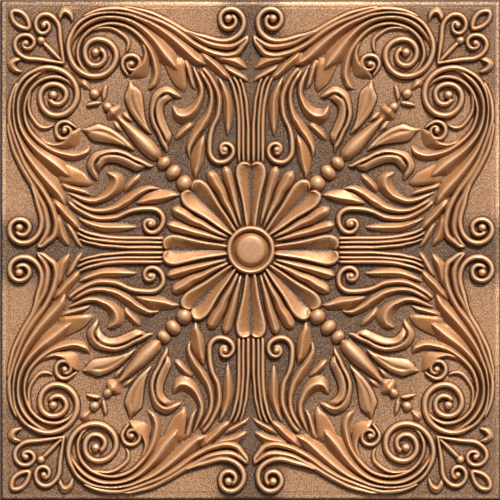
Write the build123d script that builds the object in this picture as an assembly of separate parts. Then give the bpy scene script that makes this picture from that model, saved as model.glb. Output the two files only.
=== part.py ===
import os
from build123d import *

# Moulded foam ceiling tile: one square sheet with a flat back, a rounded rim and a
# scrollwork relief on its face. Millimetres, +Z towards the relief, origin under the
# middle of the back. The relief repeats eight times: it is drawn for the slice between
# the +Y axis and the +X+Y diagonal and then mirrored.

tile_side = 498.0        # across the flats, edge to edge
field_thickness = 4.5    # back to the plain ground between the ornaments
relief_height = 5.5      # ground to the highest crests
rim_radius = 3.0         # rounding of the face's outer edge
foot_depth = 0.5         # how far an ornament's foot runs below the ground
hub_disc_radius = 14.5   # crowned disc at the centre
hub_groove_radius = 18.0
hub_ring_radius = 21.7   # crest of the ring round the disc
hub_foot_radius = 24.3
leaf_facet_turn = 60.0   # degrees that a leaf turns from one facet to the next
scroll_facet_turn = 48.0
bead_sides = 6           # facets round a bead
seam = 0.001             # how near two mirrored edges lie to be one

# The pattern is drawn to a side of its own and follows the side of the tile.
pattern_side = 501.0
pitch = tile_side / pattern_side
low = field_thickness - foot_depth

# Each leaf or line is a ridge: rows of x, y, width to its left foot, width to its
# right foot (seen along its run) and its height as a share of the relief.
leaves = {
    "narrow_petal": [
        (9.5, 25, 0.8, 0.8, 0.2), (12.4, 35, 2.2, 2.2, 0.6), (18.6, 59, 3.7, 3.7, 0.8),
        (23.2, 74.5, 4.5, 4.5, 0.8), (26, 84.5, 0.5, 0.5, 0)],
    "broad_petal": [
        (13.4, 23.4, 0.8, 0.8, 0.2), (16.6, 31, 2.2, 2.2, 0.6), (26.6, 50.5, 3.6, 3.6, 0.8),
        (36, 68.5, 5.8, 5.8, 0.8), (42.5, 78.5, 0.5, 0.5, 0)],
    "axis_petal_lobe": [
        (4.2, 25, 2.8, 1.2, 0.3), (7.7, 48, 6.5, 1.5, 0.8), (13, 70.5, 9, 1.8, 0.9),
        (13.6, 79, 7, 1.8, 0.9), (8, 87, 4, 1.8, 0.9), (0, 83.5, 1.5, 1.5, 0.3)],
    "corner_petal_lobe": [
        (16.8, 21.4, 1.2, 2.8, 0.3), (29.8, 40.9, 1.8, 7, 0.8), (41, 60, 2.2, 11, 0.9),
        (50, 68.7, 2.2, 7, 0.9), (57, 66, 2.2, 4, 0.9), (59, 58, 1.5, 1.5, 0.3)],
    "outer_rib": [
        (11.8, 87, 2.2, 2.4, 0.6), (11.8, 125, 2.2, 2.6, 0.7), (14, 150, 2, 2.4, 0.7),
        (20, 169.3, 1, 1, 0.2)],
    "middle_rib": [
        (7.7, 87, 2.2, 2.2, 0.6), (7.7, 125, 2.2, 2.2, 0.7), (9.8, 150, 2, 2, 0.7),
        (15.5, 170.5, 1, 1, 0.2)],
    "inner_rib": [
        (2.7, 87, 2.2, 2.2, 0.6), (2.7, 125, 2.2, 2.2, 0.7), (5, 150, 2, 2, 0.7),
        (9.8, 168.5, 1, 1, 0.2)],
    "dart": [
        (31.4, 171.4, 0.8, 0.8, 0.1), (25.5, 157.7, 4, 4, 0.6), (22.8, 138, 4.5, 4.5, 0.7),
        (23, 113.3, 0.5, 0.5, 0)],
    "inner_stem": [
        (42.5, 110, 0.8, 0.8, 0.2), (33.4, 132.7, 3, 3, 0.8), (34.5, 161.4, 3, 3, 0.8),
        (48.2, 181.4, 0.8, 0.8, 0.2)],
    "long_leaf": [
        (61, 91, 0.6, 0.6, 0), (57.3, 110.9, 5, 4, 0.8), (43.6, 131.8, 5, 2.5, 0.9),
        (39.5, 154, 3, 2.5, 0.9), (50, 179, 0.8, 0.8, 0.2)],
    "short_leaf": [
        (55.2, 70.9, 0.6, 0.6, 0), (53, 84, 5, 6.5, 0.7), (50.3, 100, 4.5, 7, 0.7),
        (47, 114.5, 0.6, 0.6, 0)],
    "hooked_leaf": [
        (57, 182, 0.8, 0.8, 0.2), (49.6, 156, 3.5, 3, 0.8), (58, 138, 6, 6, 0.9),
        (71, 134.4, 5.5, 7, 0.9), (78, 144, 0.6, 0.6, 0)],
    "curled_leaf_outer": [
        (84, 97, 0.6, 0.6, 0), (91.8, 117.7, 1.8, 2.2, 0.8), (98.5, 138, 2, 2.5, 0.9),
        (87, 157.8, 2, 5, 0.9), (69, 152.6, 0.6, 0.6, 0)],
    "curled_leaf_inner": [
        (84, 105, 0.6, 0.6, 0), (91.4, 125.9, 6.5, 2, 0.8), (93.2, 143, 5, 2, 0.8),
        (80, 154.5, 1, 1, 0.3)],
    "lance_leaf_outer": [
        (120.5, 169, 0.6, 0.6, 0), (120.9, 150, 4.5, 1.5, 0.7), (110.9, 130, 3, 1.5, 0.7),
        (99, 116, 0.6, 0.6, 0)],
    "lance_leaf_inner": [
        (118, 160, 0.6, 0.6, 0), (113.5, 144, 1.8, 6, 0.7), (104.5, 124.5, 0.6, 0.6, 0)],
    "pendant_leaf": [
        (109.5, 209, 0.8, 0.8, 0.2), (105, 196, 2.5, 3.5, 0.7), (111, 183, 3, 6, 0.8),
        (121.3, 171, 0.6, 0.6, 0)],
    "upper_leaflet": [
        (36, 192.5, 1, 1, 0.3), (18.2, 189.1, 3.5, 4.5, 0.7), (3.5, 181.2, 0.6, 0.6, 0)],
    "lower_leaflet": [
        (46.8, 195, 1, 1, 0.3), (33, 182, 4, 4.5, 0.7), (20, 170.5, 0.6, 0.6, 0)],
    "fourth_lobe": [
        (182, 204, 2, 2, 0.7), (165, 231.8, 2.2, 2, 0.9), (137, 237.5, 2.3, 1.8, 0.9),
        (100, 227, 5, 2.5, 0.9), (66, 200.8, 8, 7, 0.95), (44, 184.6, 0.8, 0.8, 0)],
    "third_lobe": [
        (180.5, 201, 2, 2, 0.7), (165, 225.2, 2.2, 2, 0.9), (140, 233.2, 2.5, 2.2, 0.9),
        (110, 223.2, 3.5, 3, 0.9), (84, 193.5, 7, 8, 0.95), (72, 177.5, 0.8, 0.8, 0)],
    "second_lobe": [
        (162.5, 176.5, 1.5, 1.5, 0.5), (173, 196, 2.2, 2.2, 0.9), (164.1, 216.8, 2.2, 2.2, 0.9),
        (140, 226.4, 2, 2.5, 0.9), (111.8, 214.5, 2, 2.5, 0.9), (95, 180, 3.5, 5, 0.95),
        (104, 161, 0.8, 0.8, 0)],
    "first_lobe": [
        (157, 221.5, 0.8, 0.8, 0.3), (138, 221.6, 2, 2, 0.7), (122.8, 208, 2, 2.5, 0.7),
        (125, 197.5, 0.6, 0.6, 0)],
    "edge_line_inner": [
        (160, 236, 0.8, 0.8, 0.3), (130, 241.1, 1.6, 1.6, 0.8), (90, 228, 2.2, 2.2, 0.8),
        (50.5, 202.7, 3, 2.5, 0.9), (22, 194.4, 2.5, 2.5, 0.8), (3.3, 214.3, 0.8, 0.8, 0)],
    "edge_line_outer": [
        (130, 242, 0.8, 0.8, 0.3), (99.5, 236.8, 2, 2, 0.8), (60, 215.5, 2.2, 2.2, 0.8),
        (25, 203.3, 2.5, 2.2, 0.8), (3.3, 214.3, 0.8, 0.8, 0)],
    "side_leaf": [
        (73, 193, 1, 1, 0.4), (69.5, 176, 9, 3, 0.7), (66.5, 157.5, 0.6, 0.6, 0)],
    "corner_hook": [
        (189.5, 229, 1, 1, 0.3), (184.5, 237.3, 3, 4.5, 0.7), (177.5, 230.5, 0.6, 0.6, 0)],
    "corner_loop": [
        (238.8, 233, 1.8, 1.8, 0.7), (233.4, 238.9, 1.9, 1.9, 0.7), (223.6, 231.4, 1.9, 1.9, 0.7),
        (222.4, 221.5, 1.4, 1.4, 0.5)],
}

# A scroll turns inward through the four sides of each turn, one row for each side.
scrolls = {
    "great_scroll": [
        (176, 219, 1, 1, 0.4), (182.5, 203, 2.6, 2.6, 0.9), (155.5, 173.6, 2.6, 2.6, 0.9),
        (134.5, 194, 2.6, 2.6, 0.9), (152.5, 210.8, 2.6, 2.6, 0.9), (166, 197.5, 2.5, 2.5, 0.9),
        (155.5, 184, 2.4, 2.4, 0.9), (146.2, 192.5, 2.2, 2.2, 0.9), (153, 201, 2, 2, 0.9)],
    "edge_scroll": [
        (62, 218.5, 0.8, 0.8, 0.2), (45, 213, 2.4, 2.4, 0.8), (27, 208.8, 2.6, 2.6, 0.9),
        (7, 227, 2.6, 2.6, 0.9), (20, 241, 2.5, 2.5, 0.9), (30.6, 231, 2.4, 2.4, 0.9),
        (22.5, 221.3, 2.2, 2.2, 0.9), (15.1, 228, 2, 2, 0.9)],
    "stem_scroll": [
        (36.5, 119, 1, 1, 0.3), (41.4, 100, 2.4, 2.4, 0.8), (30.5, 87.6, 2.4, 2.4, 0.8),
        (17.5, 98.5, 2.4, 2.4, 0.8), (25, 106.3, 2.2, 2.2, 0.8), (30, 101, 2, 2, 0.8)],
    "small_scroll": [
        (122.5, 175, 1, 1, 0.3), (128.5, 186, 2, 2, 0.7), (119.5, 194.8, 2, 2, 0.7),
        (111.3, 187, 2, 2, 0.7), (118, 179.8, 1.8, 1.8, 0.7)],
    "corner_scroll": [
        (187.5, 188, 1, 1, 0.3), (191.1, 216.4, 2, 2, 0.8), (205, 235.8, 2, 2, 0.8),
        (215.1, 225.5, 2, 2, 0.8), (207.8, 216.5, 2, 2, 0.8), (201.5, 223, 1.8, 1.8, 0.8)],
}

# What stands on the diagonal: rows of distance from both axes, half-width, height share.
diagonal_forms = {
    "bud": [(91.5, 1, 0), (98, 7.4, 0.8), (106, 8.2, 0.92), (117, 6, 0.9), (130, 1, 0.2)],
    "bell": [(129.5, 4, 0.2), (134, 9, 0.7), (138, 6.2, 0.7), (143, 2, 0.4)],
    "cap": [(158.5, 1, 0), (163.5, 4, 0.7), (171, 0.8, 0)],
    "spindle": [(189, 1, 0), (197, 2.2, 0.6), (205, 1, 0.2)],
}

# Round beads on the diagonal: distance from both axes, half across, half along, height share.
beads = [
    (66.5, 8, 8, 0.9),
    (77.5, 8.5, 6.3, 0.8),
    (87.2, 7.3, 5.2, 0.7),
    (144, 4.3, 4.3, 0.9),
    (153.8, 5.8, 5.8, 0.9),
    (208.5, 4, 4, 0.8),
]


def faceted(loops):
    return Solid(Shell([Face(Wire.make_polygon(loop, close=True)) for loop in loops]))


def ridge(rows, facet_turn):
    # The crest and the two feet run as smooth curves through the rows; flat facets
    # span them, closer together where the run turns.
    places = [Vector(x * pitch, y * pitch, low) for x, y, left, right, rise in rows]
    path = Edge.make_spline(places)
    marks = [index / (len(rows) - 1) for index in range(len(rows))]
    headings = []
    crest_rows, left_rows, right_rows = [], [], []
    for place, (x, y, left, right, rise) in zip(places, rows):
        heading = path.tangent_at(path.param_at_point(place))
        across = Vector(-heading.Y, heading.X, 0)
        headings.append(heading)
        crest_rows.append(place + Vector(0, 0, foot_depth + rise * relief_height))
        left_rows.append(place + across * (left * pitch))
        right_rows.append(place - across * (right * pitch))
    stations = [0]
    for index in range(len(rows) - 1):
        turn = headings[index].get_angle(headings[index + 1])
        count = max(1, round(turn / facet_turn))
        span = marks[index + 1] - marks[index]
        stations += [marks[index] + span * (step + 1) / count for step in range(count)]
    crest, left_foot, right_foot = [
        [Edge.make_spline(curve_rows, parameters=marks).position_at(station) for station in stations]
        for curve_rows in (crest_rows, left_rows, right_rows)
    ]
    corners = [left_foot + right_foot[::-1]]
    corners.append([left_foot[0], crest[0], right_foot[0]])
    corners.append([left_foot[-1], crest[-1], right_foot[-1]])
    for foot in (left_foot, right_foot):
        for index in range(len(stations) - 1):
            corners.append([crest[index], crest[index + 1], foot[index]])
            corners.append([crest[index + 1], foot[index + 1], foot[index]])
    return faceted(corners)


def bead(place, across, along, share):
    # A faceted dome of two tiers, narrower along the diagonal where the bead is oval.
    rise = foot_depth + share * relief_height
    rings = []
    for height, reach in ((0, 1), (0.75 * rise, 0.7)):
        ring = []
        for side in range(bead_sides):
            spoke = Vector(1, 0, 0).rotate(Axis.Z, 360 * (side + 0.5) / bead_sides)
            ring.append(Vector(spoke.X * across * reach * pitch, spoke.Y * along * reach * pitch, height))
        rings.append(ring)
    foot, shoulder = rings
    loops = [foot]
    for side in range(bead_sides):
        loops.append([foot[side - 1], foot[side], shoulder[side], shoulder[side - 1]])
        loops.append([shoulder[side - 1], shoulder[side], Vector(0, 0, rise)])
    return Pos(place * pitch, place * pitch, low) * Rot(0, 0, -45) * faceted(loops)


def hub():
    # A crowned disc, a groove and a ring round it, turned on the tile's middle.
    crown = foot_depth + relief_height
    profile = Polyline(
        (0, 0), (0, crown), (0.6 * hub_disc_radius, 0.93 * crown), (hub_disc_radius, 0.65 * crown),
        (hub_groove_radius, 0.35 * crown), (hub_ring_radius, 0.9 * crown), (hub_foot_radius, 0), close=True)
    turned = revolve(make_face(Plane.XZ * profile), Axis.Z)
    return Pos(0, 0, low) * turned


def ornaments():
    forms = [hub()]
    for rows in leaves.values():
        forms.append(ridge(rows, leaf_facet_turn))
    for rows in scrolls.values():
        forms.append(ridge(rows, scroll_facet_turn))
    for rows in diagonal_forms.values():
        forms.append(ridge([(t, t, half, half, share) for t, half, share in rows], leaf_facet_turn))
    for place, across, along, share in beads:
        forms.append(bead(place, across, along, share))
    return forms


def wedge(reach):
    # The space over one eighth of the tile, from the +Y axis to the diagonal.
    outline = Polyline((0, 0), (0, reach), (reach, reach), close=True)
    return extrude(make_face(outline), 2 * (field_thickness + relief_height))


def slice_of_tile():
    sheet = Pos(0, 0, field_thickness / 2) * Box(tile_side, tile_side, field_thickness)
    sheet = fillet(sheet.faces().sort_by(Axis.Z)[-1].edges(), rim_radius)
    piece = sheet.intersect(wedge(tile_side)).solids()[0]
    # A pattern drawn wider than the tile is cut off where the rim begins to round.
    ground = wedge(tile_side / 2 - rim_radius)
    for form in ornaments():
        kept = form.intersect(ground)
        if kept:
            piece = piece.fuse(kept.solids()[0])
    return piece


def on_slice_side(face):
    # True for the two cut sides of the slice, which its mirror images close.
    points = [vertex.center() for vertex in face.vertices()]
    on_axis = all(abs(point.X) < seam for point in points)
    on_diagonal = all(abs(point.X - point.Y) < seam for point in points)
    return on_axis or on_diagonal


def foam_tile():
    skin = [face for face in slice_of_tile().faces() if not on_slice_side(face)]
    for plane in (Plane((0, 0, 0), z_dir=(1, -1, 0)), Plane.YZ, Plane.XZ):
        skin += [mirror(face, about=plane) for face in skin]
    piece = Solid(Shell(skin))
    piece.label = "foam_tile"
    return piece


os.makedirs("parts", exist_ok=True)
tile = foam_tile()
export_step(tile, "parts/foam_tile.step")
print("foam_tile volume", round(tile.volume), "mm3")
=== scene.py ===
import math
import bpy
import bmesh
import numpy as np
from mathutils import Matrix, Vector


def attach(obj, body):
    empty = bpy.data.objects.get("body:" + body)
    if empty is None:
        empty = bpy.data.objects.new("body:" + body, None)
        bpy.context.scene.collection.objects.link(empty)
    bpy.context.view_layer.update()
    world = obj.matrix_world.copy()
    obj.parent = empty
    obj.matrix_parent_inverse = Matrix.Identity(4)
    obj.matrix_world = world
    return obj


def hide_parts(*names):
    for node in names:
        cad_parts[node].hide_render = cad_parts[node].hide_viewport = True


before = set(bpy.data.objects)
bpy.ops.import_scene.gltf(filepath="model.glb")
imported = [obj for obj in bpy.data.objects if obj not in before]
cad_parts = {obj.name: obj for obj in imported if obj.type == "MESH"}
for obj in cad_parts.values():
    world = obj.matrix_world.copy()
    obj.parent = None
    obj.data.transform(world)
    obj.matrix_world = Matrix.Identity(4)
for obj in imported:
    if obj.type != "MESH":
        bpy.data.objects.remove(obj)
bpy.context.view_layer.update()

mm = 0.001

# Everything is drawn for one eighth of the tile, in mm from its middle:
# x runs to the side, y up, between the +Y axis and the diagonal.

tileSheet = {
    "side": 498.0,
    "patternSide": 501.0,   # side that the ornament below is drawn to
    "ground": 4.5,          # back to the plain ground
    "relief": 5.5,          # ground to the highest crest
    "drawnRelief": 4.0,     # relief that the heights below are drawn to
    "skinStep": 0.5,        # spacing of the fine grid that the relief is read on
    "faceBudget": 46000,    # triangles kept for one quarter of the face
    "smoothing": 2,         # rounds of blur on the fine grid
    "footShare": 0.20,      # height that a leaf keeps at its foot, as a share
    "rootShare": 0.55,      # and where it grows out of a scroll
    "lineShare": 0.12,      # the same share for a line
    "rimSide": 6.0,         # width of the rounding at the very edge
    "rimDrop": 3.2,         # and how far it falls
    "rimCrest": 6.2,        # from the edge to the inner end of the rim's top
    "rimFoot": 9.6,         # from the edge to where the rim meets the ground
    "rimLip": 0.12,         # rim above ground
    "snap": 0.05,           # points this near to an axis or a side are moved on to it
    "weld": 0.004,          # points this near each other become one
}

pitch = tileSheet["side"] / tileSheet["patternSide"]
lift = tileSheet["relief"] / tileSheet["drawnRelief"]

# crest, foot on either side, height and roundness of each leaf;
# low is how much of the height is left where a foot meets its neighbour
petals = {
    "narrow": {
        "crest": [(9.5, 24), (12.4, 35), (15.2, 45), (18.6, 59), (21.1, 67.3), (23.2, 74.5),
                  (25.2, 81.8), (26, 84.8)],
        "widths": [1.1, 2.2, 3.2, 3.9, 4.7, 5.0, 3.2, 0.4],
        "rise": 3.1, "round": 0.15, "low": 0.38, "tip": 5.0},
    "broad": {
        "crest": [(12.6, 21.5), (16.6, 31), (21.8, 41.8), (26.6, 50.5), (30, 59), (35, 66.4),
                  (38, 72.3), (41.4, 77.3), (42.6, 79)],
        "widths": [1.1, 2.3, 3.3, 4.1, 5.0, 6.0, 5.8, 3.0, 0.4],
        "rise": 3.1, "round": 0.15, "low": 0.38, "tip": 5.0},
}

rimPetals = {
    "axis": {
        "crest": [(3.6, 22), (4.2, 25), (6, 37), (7.7, 48), (10.5, 60.5), (13, 70.5), (13.9, 78),
                  (12, 84), (8, 87), (4.2, 86.4), (0.2, 83.5)],
        "inner": [(0, 22), (0, 27), (0, 37), (0, 47), (0, 57), (0, 66), (0, 72), (0, 76), (0, 79),
                  (0, 80.5), (0, 83)],
        "outer": [(4.6, 21.8), (5.4, 25), (7.4, 37), (9.3, 48), (12.1, 60.2), (14.7, 70), (15.7, 78),
                  (13.4, 85.6), (8.2, 88.9), (3.4, 88.2), (0, 85.5)],
        "rise": 2.9, "low": 0.08},
    "corner": {
        "crest": [(14.2, 17.4), (16.8, 21.4), (21.8, 29.5), (29.8, 40.9), (35, 49), (40.5, 59),
                  (44, 64), (48.2, 67.5), (52.4, 69), (56, 68), (58, 65), (58.7, 59)],
        "inner": [(15.8, 15.8), (19, 19), (26, 26), (35, 35), (42, 42), (48, 48), (51, 51), (53, 53),
                  (54.5, 54.5), (56, 56), (57, 57), (58.5, 58.5)],
        "outer": [(13.2, 18), (15.6, 22), (20.4, 30.3), (28.3, 41.8), (33.2, 50), (38.8, 60),
                  (42.4, 65.4), (47.4, 69.4), (52.6, 71), (57.6, 69.8), (60, 66), (60.5, 60.5)],
        "rise": 3.0, "low": 0.08},
}

# sharp leaves drawn by their crest and both edges, root or tip first
leaves = {
    "leafB": {
        "crest": [(182.5, 205), (181.8, 210), (180, 216), (177.3, 220.5), (173.6, 225), (170, 228.4),
                  (165, 231.8), (160, 234.3), (154.5, 235.9), (145, 237.2), (137, 237.5),
                  (130, 236.8), (120, 235), (110, 231.1), (100, 227), (90, 220.7), (80, 213.2),
                  (70.5, 205), (62.3, 197.3), (52.3, 189.1), (45, 185.5), (43.6, 184.5)],
        "left": [(180.6, 204.5), (179.6, 209.6), (177.8, 215), (175.3, 219), (172, 223),
                 (168.5, 226.3), (163.7, 229.6), (159, 231.7), (154, 233.3), (145, 234.8), (137, 235),
                 (130, 234), (121, 231.7), (112, 227.4), (103.5, 222.5), (94.5, 216), (85.5, 207.6),
                 (77, 199), (69, 191.3), (58.5, 186), (49, 184), (43.6, 184.2)],
        "right": [(184.6, 205), (184, 210.6), (182, 217), (179.2, 222), (175.4, 226.8),
                  (171.5, 230.5), (166.2, 234), (161, 236.7), (155, 238.4), (145, 239.4),
                  (137, 239.6), (129.5, 239), (119, 237.5), (108.5, 234), (98, 229.8), (87, 224.3),
                  (76.5, 218), (65.5, 210), (56, 202.5), (49, 194.5), (44.5, 188), (43.4, 184.8)],
        "rise": 3.8, "root": 24.0, "low": 0.0},
    "leafA": {
        "crest": [(180.5, 201), (179.5, 205.5), (177.3, 210.9), (174.1, 215.9), (170, 220.7),
                  (165, 225.2), (160, 228.4), (150, 232.3), (140, 233.2), (130, 232.3), (120, 229.3),
                  (110, 223.2), (100.3, 214.3), (92.3, 204.5), (86.8, 196.8), (80, 188.6),
                  (76.4, 184.5), (72, 177.5)],
        "left": [(178, 200.5), (177, 205), (174.8, 210), (171.7, 214.6), (168, 219), (163.5, 222.8),
                 (158.8, 225.6), (149.6, 229), (140, 230), (131, 228.8), (122, 225.4), (113.2, 219),
                 (105.3, 210.5), (100, 201.5), (95.4, 193), (88.2, 185), (81.5, 180.4), (72.4, 177.2)],
        "right": [(182.6, 202), (181.8, 206.6), (179.5, 212.3), (176.2, 217.7), (171.8, 222.9),
                  (166.4, 227.6), (161, 230.8), (150.2, 234.6), (140, 235.4), (129, 234.4),
                  (118, 231.3), (107, 225.7), (96, 217.8), (86, 210), (79, 203), (73.5, 194),
                  (71.8, 186), (71.7, 177.6)],
        "rise": 3.8, "root": 24.0, "low": 0.0},
    "leafJ": {
        "crest": [(160, 175.6), (164.1, 179.1), (168.2, 182.3), (170.9, 186.8), (172.7, 191.8),
                  (173, 197.3), (172.3, 202.7), (170.5, 208.2), (164.1, 216.8), (157, 221.8),
                  (150, 224.5), (140, 226.4), (130, 225.2), (120, 221.1), (111.8, 214.5),
                  (104.1, 205), (100, 198.5), (97.5, 192), (95.3, 182.5), (94.5, 175), (96.4, 168.2),
                  (99, 163.2), (104, 161)],
        "left": [(159, 176.6), (162.6, 180.4), (166.3, 183.6), (168.8, 187.8), (170.6, 192.4),
                 (170.9, 197.3), (170.2, 202.2), (168.5, 207.2), (162.6, 215), (156, 219.9),
                 (149.4, 222.8), (140, 224.4), (131, 223.2), (121.6, 219.4), (114.4, 213.2),
                 (107.8, 204.2), (104, 197), (101.2, 190.5), (99.4, 182), (99.2, 174), (100.8, 168.6),
                 (102.2, 165), (104.2, 161.2)],
        "right": [(161.4, 174), (165.6, 177.4), (170.2, 181), (173, 186), (174.8, 191.4),
                  (175.2, 197.4), (174.4, 203.2), (172.4, 209.2), (165.8, 218.5), (158.2, 223.8),
                  (150.6, 226.6), (140, 228.6), (129, 227.4), (118.2, 223.2), (109, 216.6),
                  (100.6, 207.6), (95.8, 200.5), (92.6, 193), (90, 182), (89.8, 173), (92.4, 166),
                  (97, 161.6), (103.8, 160.6)],
        "rise": 3.5, "root": 20.0, "low": 0.08},
    "leafE": {
        "crest": [(73, 193), (69.8, 185.9), (69.1, 180), (68.4, 172.7), (67.7, 165), (66.8, 160),
                  (66.5, 157)],
        "left": [(86, 190), (85, 182), (80, 171.5), (76.4, 165.8), (72.2, 161.8), (69, 158.8),
                 (66.8, 156.8)],
        "right": [(68, 192), (66.6, 186), (65.6, 180), (64.8, 172.7), (64.2, 166), (64.4, 160.5),
                  (66.2, 156.8)],
        "rise": 1.9, "low": 0.66},
    "leafF": {
        "crest": [(67, 190), (63.6, 185), (61.4, 177.7), (59.5, 170.9), (57.7, 165), (54.4, 159.5)],
        "widths": [2.6, 3.0, 3.0, 2.8, 2.3, 0.2], "rise": 2.6},
    "leafP": {
        "crest": [(109.8, 211), (106.8, 203), (105, 197), (106.2, 190.3), (108.6, 185.5),
                  (112, 182.4), (115.5, 179.5), (118.2, 176.5), (120, 173), (121.4, 170.4)],
        "left": [(111.6, 210), (108.8, 202.6), (107.2, 197), (108.4, 191.2), (110.6, 187.2),
                 (113.8, 184.4), (117, 181.6), (119.6, 178), (121, 174), (121.7, 170.6)],
        "right": [(107.8, 211.6), (104.2, 203.6), (101.8, 197), (101.2, 188.6), (101.6, 181),
                  (103.6, 174.6), (108.6, 171.8), (113.6, 171), (118, 170.6), (121.2, 170.1)],
        "rise": 2.6, "low": 0.22},
    "leafletA": {
        "crest": [(37, 193.5), (33, 192), (25, 190.5), (18.2, 189.1), (13.2, 187.3), (9.5, 185),
                  (5, 182.3), (3.2, 180.9)],
        "left": [(36, 190.5), (31, 188.6), (24, 186.6), (18.2, 184.4), (13, 182.4), (9, 181.2),
                 (5.2, 180.6), (3.2, 180.6)],
        "right": [(37, 195.2), (31, 195), (23, 195), (14.5, 194.4), (9.6, 191.6), (6.6, 188),
                  (4, 184), (2.9, 181.2)],
        "rise": 2.7, "low": 0.22},
    "leafletB": {
        "crest": [(27, 184.5), (25, 182.5), (20, 179.1), (13.6, 175.6), (8.2, 172.7), (3.2, 169.1),
                  (1.8, 167.8)],
        "left": [(26.4, 181.2), (23.6, 178.6), (19, 175.8), (13.6, 172.8), (8.6, 170.2), (4, 168),
                 (1.9, 167.5)],
        "right": [(25, 186), (22.4, 184.2), (17.6, 182), (11.4, 178.6), (6.4, 175.2), (2.6, 171),
                  (1.5, 168)],
        "rise": 2.5, "low": 0.22},
    "leafletC": {
        "crest": [(50, 198), (46.8, 195), (42.3, 190.5), (36.8, 186), (30.9, 180), (26.8, 175.9),
                  (21.8, 171.8), (19.6, 170.2)],
        "left": [(54, 194), (50, 189.6), (45.5, 185.6), (40, 181), (34, 176.2), (28.8, 172.6),
                 (23, 170.2), (19.8, 169.8)],
        "right": [(46, 198.6), (42, 196), (37.2, 191.4), (31, 186.2), (26.2, 181.2), (22.4, 177),
                  (20, 173), (19.2, 170.4)],
        "rise": 3.0, "low": 0.22},
    "longLeaf": {
        "crest": [(61, 90.6), (61.7, 96), (61.6, 101.4), (59.5, 106.4), (57.3, 110.9), (54.1, 115.5),
                  (50.9, 119.5), (46.4, 127.7), (43.6, 131.8), (41.4, 137.7), (39.8, 145),
                  (39.3, 151), (39.9, 158), (41.8, 164.5), (46, 172), (50.5, 180)],
        "left": [(60.8, 90.6), (60.2, 96), (58.8, 101.6), (55.6, 106.8), (52, 112), (49.2, 116.4),
                 (46.4, 119.6), (42.6, 125), (40.4, 130), (38.2, 136.8), (36.9, 144.6), (36.5, 151),
                 (37.1, 158.8), (39.2, 165.6), (43.6, 173.2), (48.6, 180.6)],
        "right": [(61.4, 90.8), (63.8, 96), (64.8, 102), (64.2, 107), (62.4, 112.6), (59.3, 118.6),
                  (55.4, 125), (50.6, 131.2), (46.8, 136), (44.4, 141), (42.6, 146.4), (41.9, 151.4),
                  (42.4, 157.4), (44.4, 163.4), (48.4, 170.6), (52.6, 179)],
        "rise": 3.2, "low": 0.18},
    "hookedLeaf": {
        "crest": [(57.6, 184), (54, 175), (51, 168), (49.2, 160), (49.6, 154), (51.2, 149.5),
                  (53.2, 144.6), (55.9, 140.5), (60, 136.8), (64.1, 134.5), (68.2, 133.9),
                  (72.3, 135), (75, 138.2), (76.6, 141.4), (78.2, 144.6)],
        "left": [(60, 183), (56.8, 174), (53.8, 167), (52.4, 160), (52.8, 155.4), (54.8, 152),
                 (57.2, 149.2), (60, 145.8), (63.2, 143.6), (66.4, 142.2), (69.6, 141.6), (72.4, 142),
                 (74.6, 143.2), (76.4, 144), (78, 144.8)],
        "right": [(55.6, 184.4), (51.6, 176), (48.4, 169), (46.4, 160.4), (46.9, 152.4),
                  (48.6, 145.6), (50.8, 139.6), (53.4, 134.6), (57.2, 130), (61.6, 126.9),
                  (67, 125.4), (72.2, 126), (76.8, 130.4), (78.8, 137), (78.6, 144.2)],
        "rise": 3.5, "root": 20.0, "low": 0.08},
    "shortLeaf": {
        "crest": [(55.2, 70.3), (54.9, 74), (54.5, 78.6), (53.5, 82), (52.5, 85.5), (51.1, 93.2),
                  (50.3, 100), (48.5, 108), (46.6, 115.5)],
        "left": [(55, 70.3), (53, 74), (51.6, 78), (49.6, 82), (47.6, 86), (46.2, 93), (45.6, 100),
                 (45.4, 108), (46.2, 115.5)],
        "right": [(55.5, 70.4), (57.4, 74), (59.3, 78.4), (60.2, 83), (60.6, 88), (60.2, 95),
                  (58, 102), (53, 109.4), (47.2, 115.8)],
        "rise": 3.0, "low": 0.18},
    "littleLeaf": {
        "crest": [(57.6, 126.6), (63.6, 122.3), (66.8, 119.5), (70.9, 115.5), (75, 111.4), (76.8, 110)],
        "left": [(59.4, 128.2), (66, 125.4), (70.6, 121.8), (74, 117.6), (76.4, 112.6), (76.9, 110.2)],
        "right": [(57, 124), (61.4, 119.6), (64.6, 116), (68.6, 111.6), (74, 109.2), (76.6, 109.7)],
        "rise": 2.5, "low": 0.22},
    "curlInner": {
        "crest": [(84.2, 104), (84.3, 110.9), (85.9, 115), (88.9, 120.5), (91.4, 125.9),
                  (93.2, 131.8), (93.9, 138.6), (93.2, 144.1), (91, 149), (87.7, 151.8), (83.6, 154),
                  (79, 154.4)],
        "left": [(83.6, 104), (80.6, 109), (79.4, 114), (80.9, 119), (84.1, 125.9), (86.8, 133),
                 (87.8, 139), (87.4, 142.8), (85.6, 146), (83, 148.6), (79.6, 150.8), (75.6, 152.2)],
        "right": [(84.6, 104), (85.8, 110.4), (87.7, 114.8), (90.6, 120), (93.1, 125.4), (95, 131.6),
                  (95.9, 138.6), (95.2, 144.7), (92.8, 150.4), (88.6, 153.6), (84, 156), (78.6, 156.2)],
        "rise": 3.3, "low": 0.55},
    "curlOuter": {
        "crest": [(84, 96.6), (84.3, 101.8), (86.4, 105.9), (89.1, 111.4), (91.8, 117.7), (95, 123.2),
                  (97.3, 129.1), (98.5, 135), (98.2, 140), (96.8, 146.4), (94.6, 151.4),
                  (90.9, 155.5), (86.8, 158), (81.8, 158.2), (77.7, 156.4), (73.2, 154.4),
                  (68.6, 152.4)],
        "left": [(83.7, 96.6), (82.6, 101.6), (84.4, 106.8), (87.2, 112.4), (89.9, 118.4),
                 (93, 123.9), (95.2, 129.6), (96.3, 135), (96.1, 139.8), (94.9, 145.4), (92.9, 149.8),
                 (89.7, 153.4), (86.4, 155.6), (82, 155.8), (78.6, 154.2), (74, 152.4), (68.7, 152.1)],
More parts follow.
